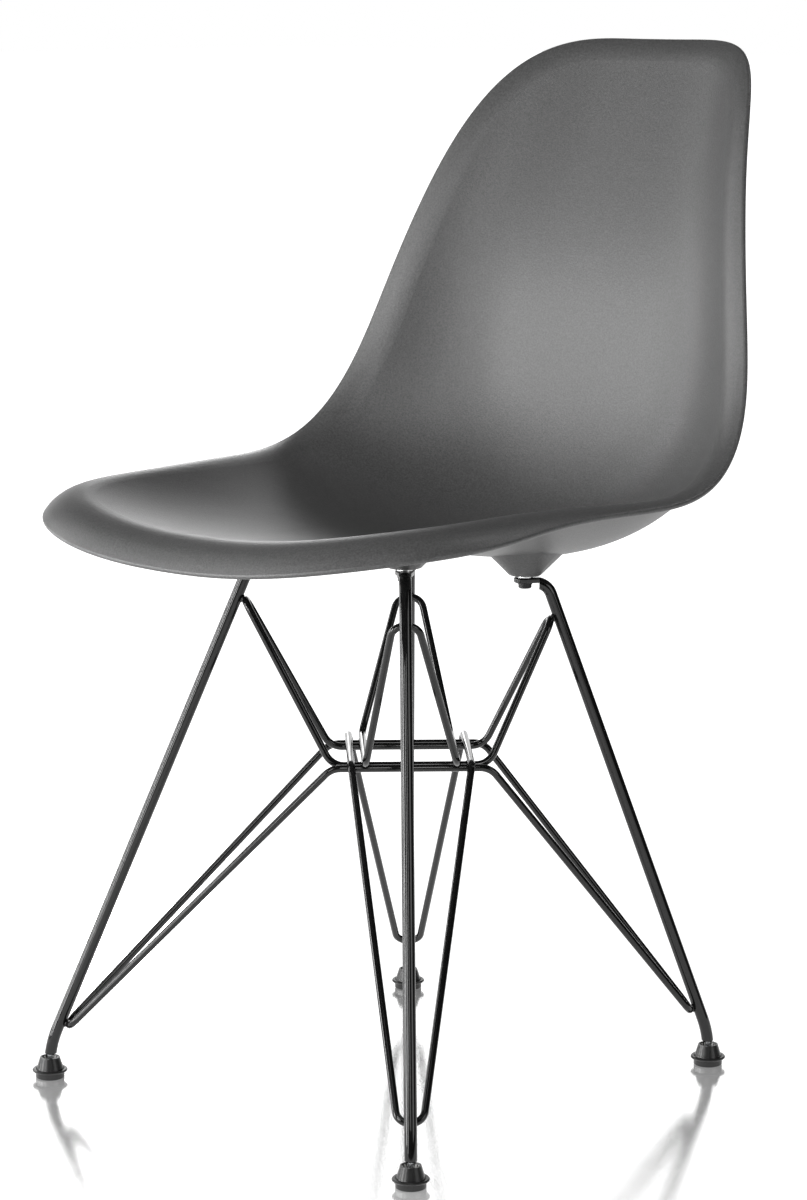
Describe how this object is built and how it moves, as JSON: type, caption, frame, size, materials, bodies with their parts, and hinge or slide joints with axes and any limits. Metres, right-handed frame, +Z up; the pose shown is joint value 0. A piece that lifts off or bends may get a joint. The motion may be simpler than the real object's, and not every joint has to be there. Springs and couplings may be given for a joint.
{
  "type": "moulded plastic shell chair",
  "caption": "Side chair with a moulded plastic bucket seat and back on a welded wire base of splayed rod legs, paired crossing brace loops and ball-jointed floor glides.",
  "frame": {"origin": "on the floor, under the middle of the whole chair's outline", "axes": "+Z up; the sitter faces -Y, so the backrest is towards +Y; +X is the sitter's left"},
  "size_m": [0.4502, 0.5691, 0.8115],
  "materials": {
    "shell_plastic": "satin charcoal grey polypropylene with a fine moulded grain",
    "black_rod": "semi-gloss black powder coat on steel rod and wire",
    "black_bolts": "black oxide steel, satin",
    "zinc_spacers": "bright zinc plate",
    "brass_inserts": "turned, plain",
    "bright_steel": "turned, plain",
    "black_plastic": "moulded nylon, satin black"
  },
  "bodies": {
    "chair": {"seat_shell": "shell_plastic", "shell_bolts": "black_bolts", "spacer_washers": "zinc_spacers", "threaded_inserts": "brass_inserts", "front_left_leg": "black_rod", "front_right_leg": "black_rod", "rear_left_leg": "black_rod", "rear_right_leg": "black_rod", "lower_brace_a": "black_rod", "upper_brace_a": "black_rod", "lower_brace_b": "black_rod", "upper_brace_b": "black_rod"},
    "front_left_stud": {"front_left_ball_stud": "bright_steel"},
    "front_left_glide": {"front_left_glide_cup": "black_plastic", "front_left_glide_base": "black_plastic"},
    "front_right_stud": {"front_right_ball_stud": "bright_steel"},
    "front_right_glide": {"front_right_glide_cup": "black_plastic", "front_right_glide_base": "black_plastic"},
    "rear_left_stud": {"rear_left_ball_stud": "bright_steel"},
    "rear_left_glide": {"rear_left_glide_cup": "black_plastic", "rear_left_glide_base": "black_plastic"},
    "rear_right_stud": {"rear_right_ball_stud": "bright_steel"},
    "rear_right_glide": {"rear_right_glide_cup": "black_plastic", "rear_right_glide_base": "black_plastic"}
  },
  "joints": [
    {"name": "front_left_glide_swivel", "type": "hinge", "parent": "chair", "child": "front_left_stud", "pos_m": [0.1956, -0.2293, 0.0095], "axis": [0, 0, 1], "continuous": true},
    {"name": "front_left_glide_tilt", "type": "hinge", "parent": "front_left_stud", "child": "front_left_glide", "pos_m": [0.1956, -0.2293, 0.0095], "axis": [1, 0, 0], "range_deg": [-8, 8]},
    {"name": "front_right_glide_swivel", "type": "hinge", "parent": "chair", "child": "front_right_stud", "pos_m": [-0.1956, -0.2293, 0.0095], "axis": [0, 0, 1], "continuous": true},
    {"name": "front_right_glide_tilt", "type": "hinge", "parent": "front_right_stud", "child": "front_right_glide", "pos_m": [-0.1956, -0.2293, 0.0095], "axis": [1, 0, 0], "range_deg": [-8, 8]},
    {"name": "rear_left_glide_swivel", "type": "hinge", "parent": "chair", "child": "rear_left_stud", "pos_m": [0.1646, 0.1549, 0.0095], "axis": [0, 0, 1], "continuous": true},
    {"name": "rear_left_glide_tilt", "type": "hinge", "parent": "rear_left_stud", "child": "rear_left_glide", "pos_m": [0.1646, 0.1549, 0.0095], "axis": [1, 0, 0], "range_deg": [-8, 8]},
    {"name": "rear_right_glide_swivel", "type": "hinge", "parent": "chair", "child": "rear_right_stud", "pos_m": [-0.1646, 0.1549, 0.0095], "axis": [0, 0, 1], "continuous": true},
    {"name": "rear_right_glide_tilt", "type": "hinge", "parent": "rear_right_stud", "child": "rear_right_glide", "pos_m": [-0.1646, 0.1549, 0.0095], "axis": [1, 0, 0], "range_deg": [-8, 8]}
  ]
}
